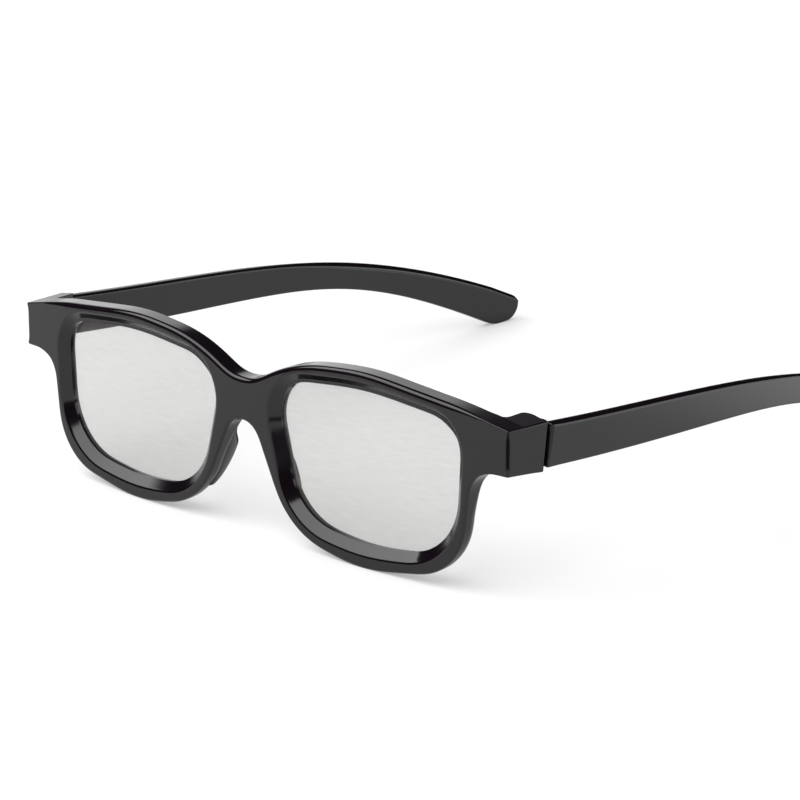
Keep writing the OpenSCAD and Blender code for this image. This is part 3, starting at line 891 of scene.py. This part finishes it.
def feed(tree, source, socket):
    """Gives an input a plain value, or the output that it is linked to."""
    if isinstance(source, bpy.types.NodeSocket):
        tree.links.new(source, socket)
    else:
        socket.default_value = source


def maths(tree, operation, *sources):
    """Result of a Math node."""
    node = new_node(tree, "ShaderNodeMath", operation=operation)
    for source, socket in zip(sources, node.inputs):
        feed(tree, source, socket)
    return node.outputs[0]


def mix(tree, share, a, b):
    """Number at a share of the way from a to b."""
    node = new_node(tree, "ShaderNodeMix", data_type="FLOAT")
    for source, name in ((share, "Factor"), (a, "A"), (b, "B")):
        feed(tree, source, node.inputs[name])
    return node.outputs["Result"]


def map_range(tree, source, span=(0, 1), goal=(0, 1), way="SMOOTHSTEP"):
    """Value of an output carried from a span to a goal and held at its ends."""
    node = new_node(tree, "ShaderNodeMapRange", interpolation_type=way)
    for value, name in zip((*span, *goal), ("From Min", "From Max", "To Min", "To Max")):
        node.inputs[name].default_value = value
    tree.links.new(source, node.inputs["Value"])
    return node.outputs["Result"]


def length_of(tree, vector):
    """Length of a vector output."""
    node = new_node(tree, "ShaderNodeVectorMath", operation="LENGTH")
    tree.links.new(vector, node.inputs[0])
    return node.outputs["Value"]


def mapped(tree, vector, kind, **values):
    """Vector output moved, turned and scaled by a Mapping node."""
    node = new_node(tree, "ShaderNodeMapping", vector_type=kind)
    for name, value in values.items():
        node.inputs[name].default_value = value
    tree.links.new(vector, node.inputs["Vector"])
    return node.outputs["Vector"]


def noise(tree, vector, scale=5.0, detail=2.0):
    """Noise from 0 to 1 over a vector output."""
    node = new_node(tree, "ShaderNodeTexNoise")
    node.inputs["Scale"].default_value = scale
    node.inputs["Detail"].default_value = detail
    tree.links.new(vector, node.inputs["Vector"])
    return node.outputs["Fac"]


def two_tones(tree, share, dark, light):
    """Colour between two tones."""
    node = new_node(tree, "ShaderNodeValToRGB")
    for stop, tone in zip(node.color_ramp.elements, (dark, light)):
        stop.color = (*tone, 1)
    tree.links.new(share, node.inputs["Fac"])
    return node.outputs["Color"]


def new_material(name):
    """A material, its node tree, its shader and its Object coordinates."""
    material = bpy.data.materials.new(name)
    material.use_nodes = True
    tree = material.node_tree
    place = new_node(tree, "ShaderNodeTexCoord").outputs["Object"]
    return material, tree, tree.nodes["Principled BSDF"], place


def moulded_grain():
    """Node group: the roughness and the fine relief of a satin moulding, from its Object coordinates."""
    group = bpy.data.node_groups.new("moulded_grain", "ShaderNodeTree")
    face = group.interface
    face.new_socket("Vector", in_out="INPUT", socket_type="NodeSocketVector")
    for name in ("Roughness", "Spread"):
        face.new_socket(name, in_out="INPUT", socket_type="NodeSocketFloat")
    for name in ("Roughness", "Height"):
        face.new_socket(name, in_out="OUTPUT", socket_type="NodeSocketFloat")
    came = new_node(group, "NodeGroupInput").outputs
    goes = new_node(group, "NodeGroupOutput").inputs
    cloud = noise(group, came["Vector"], scale=90, detail=4)
    grain = noise(group, came["Vector"], scale=2600)
    rough = maths(group, "MULTIPLY_ADD", cloud, came["Spread"], came["Roughness"])
    group.links.new(rough, goes["Roughness"])
    group.links.new(grain, goes["Height"])
    return group


def plastic(name, grain, gloss):
    """Black moulded plastic: near-black body, gloss from its own shader, grain from the group."""
    material, tree, shader, place = new_material(name)
    shader.inputs["IOR"].default_value = 1.5
    moulding = new_node(tree, "ShaderNodeGroup", node_tree=grain)
    moulding.inputs["Roughness"].default_value, moulding.inputs["Spread"].default_value = gloss
    tree.links.new(place, moulding.inputs["Vector"])
    body = two_tones(tree, noise(tree, place, scale=160), (0.0035, 0.0022, 0.0035), (0.0055, 0.0038, 0.0055))
    relief = new_node(tree, "ShaderNodeBump")
    relief.inputs["Strength"].default_value = 0.06
    relief.inputs["Distance"].default_value = 0.00002
    tree.links.new(moulding.outputs["Height"], relief.inputs["Height"])
    tree.links.new(body, shader.inputs["Base Color"])
    tree.links.new(moulding.outputs["Roughness"], shader.inputs["Roughness"])
    tree.links.new(relief.outputs["Normal"], shader.inputs["Normal"])
    return material


def lens_film():
    """Pale grey film: mostly see-through, with a faint drawn streak in its tone."""
    material, tree, shader, place = new_material("lens_film")
    shader.inputs["Roughness"].default_value = 0.08
    shader.inputs["IOR"].default_value = 1.45
    streak = noise(tree, mapped(tree, place, "POINT", Scale=(40, 40, 700)))
    tone = two_tones(tree, streak, (0.185, 0.175, 0.165), (0.215, 0.205, 0.195))
    cover = map_range(tree, streak, (0.3, 0.7), (0.215, 0.24), "LINEAR")
    tree.links.new(tone, shader.inputs["Base Color"])
    tree.links.new(cover, shader.inputs["Alpha"])
    return material


def pin_steel():
    """Drawn steel wire: fine lines along the pin."""
    material, tree, shader, place = new_material("pin_steel")
    shader.inputs["Base Color"].default_value = (0.55, 0.55, 0.57, 1)
    shader.inputs["Metallic"].default_value = 1
    lines = noise(tree, mapped(tree, place, "POINT", Scale=(6000, 6000, 200)))
    rough = map_range(tree, lines, goal=(0.25, 0.45), way="LINEAR")
    tree.links.new(rough, shader.inputs["Roughness"])
    return material


def white_floor():
    """Wide white table that keeps the shadow and is lifted to the photograph's white ground.

    The lift is for camera and transmission rays and grows away from the object. Glossy rays see a low glow, a
    painted pool of light in the corner behind on the wearer's left, and places of painted shade instead.
    """
    h = TABLE_HALF
    mesh = bpy.data.meshes.new("floor")
    mesh.from_pydata([(-h, -h, 0), (h, -h, 0), (h, h, 0), (-h, h, 0)], [], [(0, 1, 2, 3)])
    material = bpy.data.materials.new("floor_white")
    material.use_nodes = True
    tree = material.node_tree
    tree.nodes.clear()
    place = new_node(tree, "ShaderNodeTexCoord").outputs["Object"]
    split = new_node(tree, "ShaderNodeSeparateXYZ")
    tree.links.new(place, split.inputs[0])
    path = new_node(tree, "ShaderNodeLightPath").outputs
    seen = maths(tree, "MAXIMUM", path["Is Camera Ray"], path["Is Transmission Ray"])
    ground = map_range(tree, length_of(tree, place), GROUND_REACH, GROUND_LIFT)
    share = maths(tree, "MULTIPLY", seen, ground)

    # Painted shade: in these places glossy rays see the table dark, although it is white to the camera
    lit = 1
    for x, y, turn, long, wide in PAINTED_SHADE_PLACES:
        turned = (0, 0, math.radians(turn))
        near = mapped(tree, place, "TEXTURE", Location=(x, y, 0), Rotation=turned, Scale=(long, wide, 1))
        clear = map_range(tree, length_of(tree, near), PAINTED_SHADE_EDGE)
        lit = maths(tree, "MULTIPLY", lit, clear)
    painted_shade = maths(tree, "MULTIPLY", maths(tree, "SUBTRACT", 1, lit), path["Is Glossy Ray"])
    albedo = map_range(tree, painted_shade, goal=TABLE_WHITE_AND_PAINTED_SHADE, way="LINEAR")
    # Painted light: glossy rays see the table glow brighter in the corner behind on the wearer's left, as a
    # pool of light
    painted_light_x = map_range(tree, split.outputs["X"], PAINTED_LIGHT_X)
    painted_light_y = map_range(tree, split.outputs["Y"], PAINTED_LIGHT_Y)
    glow = maths(tree, "MULTIPLY_ADD", painted_light_x, painted_light_y, maths(tree, "MULTIPLY", lit, TABLE_GLOW))
    strength = maths(tree, "MULTIPLY_ADD", path["Is Glossy Ray"], glow, share)

    paint = new_node(tree, "ShaderNodeBsdfDiffuse")
    lift = new_node(tree, "ShaderNodeEmission")
    both = new_node(tree, "ShaderNodeAddShader")
    goes = new_node(tree, "ShaderNodeOutputMaterial")
    tree.links.new(albedo, paint.inputs["Color"])
    tree.links.new(strength, lift.inputs["Strength"])
    tree.links.new(paint.outputs[0], both.inputs[0])
    tree.links.new(lift.outputs[0], both.inputs[1])
    tree.links.new(both.outputs[0], goes.inputs["Surface"])
    mesh.materials.append(material)
    floor = bpy.data.objects.new("floor", mesh)
    bpy.context.scene.collection.objects.link(floor)


def studio_world():
    """Room light: a dim even fill. Gloss sees a white backdrop low down behind the object and a dark room."""
    world = bpy.data.worlds.new("studio")
    bpy.context.scene.world = world
    world.use_nodes = True
    tree = world.node_tree
    tree.nodes.clear()
    way = new_node(tree, "ShaderNodeTexCoord").outputs["Generated"]
    split = new_node(tree, "ShaderNodeSeparateXYZ")
    tree.links.new(way, split.inputs[0])
    behind = new_node(tree, "ShaderNodeVectorMath", operation="DOT_PRODUCT")
    tree.links.new(way, behind.inputs[0])
    behind.inputs[1].default_value = BACKDROP_WAY
    band = map_range(tree, split.outputs["Z"], BACKDROP_RISE, BACKDROP_LEVELS)
    side = map_range(tree, behind.outputs["Value"], BACKDROP_SIDE)
    rear = map_range(tree, split.outputs["Y"], BACKDROP_REAR)
    backdrop = maths(tree, "MULTIPLY", maths(tree, "MULTIPLY", band, side), rear)
    path = new_node(tree, "ShaderNodeLightPath").outputs
    room = mix(tree, path["Is Glossy Ray"], FILL_LEVEL, backdrop)
    light = new_node(tree, "ShaderNodeBackground")
    light.inputs["Color"].default_value = (1, 1, 1, 1)
    goes = new_node(tree, "ShaderNodeOutputWorld")
    tree.links.new(mix(tree, path["Is Camera Ray"], room, 1), light.inputs["Strength"])
    tree.links.new(light.outputs[0], goes.inputs["Surface"])


def place_object(name, data, at, right, up, back):
    """A lamp or camera at a place in metres, turned by the directions of its right, its top and its back."""
    thing = bpy.data.objects.new(name, data)
    bpy.context.scene.collection.objects.link(thing)
    thing.matrix_world = Matrix.Translation(at) @ Matrix((right, up, back)).transposed().to_4x4()
    return thing


def softbox(name, place, along, size, radiance):
    """Rectangular lamp in metres that faces the object; its long side lies along a direction."""
    lamp = bpy.data.lights.new(name, "AREA")
    lamp.shape = "RECTANGLE"
    lamp.size, lamp.size_y = size
    lamp.energy = radiance * math.pi * size[0] * size[1]
    back = Vector(place).normalized()
    across = Vector(along)
    across = (across - back * across.dot(back)).normalized()
    place_object(name, lamp, place, across, back.cross(across), back)


def photo_camera():
    """Camera of the photograph: its turn, height and focal length, and where the brow's middle falls."""
    frame_px = 800
    focal_px = 3373.0
    turn, rise = math.radians(42.129), math.radians(17.263)
    seen_px = (240.614, 366.078)
    seen_at = Vector((0, FRONT_Y, 37.318)) * MM
    distance = 713.23 * MM
    right = Vector((math.cos(turn), math.sin(turn), 0))
    back = Vector((math.sin(turn) * math.cos(rise), -math.cos(turn) * math.cos(rise), math.sin(rise)))
    up = back.cross(right)
    aside = (seen_px[0] - frame_px / 2) * distance / focal_px
    above = (frame_px / 2 - seen_px[1]) * distance / focal_px
    lens = bpy.data.cameras.new("photo_camera")
    lens.sensor_fit = "HORIZONTAL"
    lens.sensor_width = 36
    lens.lens = focal_px / frame_px * lens.sensor_width
    lens.clip_start = 0.01
    place = seen_at + back * distance - right * aside - up * above
    bpy.context.scene.camera = place_object("photo_camera", lens, place, right, up, back)


grain = moulded_grain()
front_plastic = plastic("front_plastic", grain, FRONT_GLOSS)
temple_plastic = plastic("temple_plastic", grain, TEMPLE_GLOSS)
film = lens_film()
steel = pin_steel()

# The front: its two halves close together, and the other solids are closed by themselves
half = front_half()
solids = [*end_piece(), nose_pad()]
skins = [[half, mirrored(half)]] + [[turn(p)] for p in solids for turn in (as_built, mirrored)]
make_piece("front_moulding", skins, front_plastic, "front", ["front_frame"])

# Lenses, temples and pins of both sides
for side, turn in (("left", as_built), ("right", mirrored)):
    plies = [f"lens_{ply}_{side}" for ply in ("retarder", "polariser", "carrier")]
    make_piece(f"lens_{side}", [[turn(lens_sheet())]], film, "front", plies)
    skins = [[turn(p) for p in temple_blade()], [turn(knuckle())]]
    name, body = f"temple_moulding_{side}", f"temple_{side}_body"
    make_piece(name, skins, temple_plastic, body, [f"temple_{side}"])
    pin = frame["nodes"][f"hinge_pin_{side}"]
    pin.data.materials.clear()
    pin.data.materials.append(steel)

white_floor()
studio_world()
softbox("overhead", place=(-0.18, -0.505, 0.72), along=(-0.915, 0.4, 0), size=(1.54, 0.6), radiance=3.6)
softbox("rear_fill", place=(0.56, 0.56, 0.2), along=(1, -1, 0), size=(0.6, 0.25), radiance=2.0)
photo_camera()
bpy.context.scene.view_settings.view_transform = "Standard"
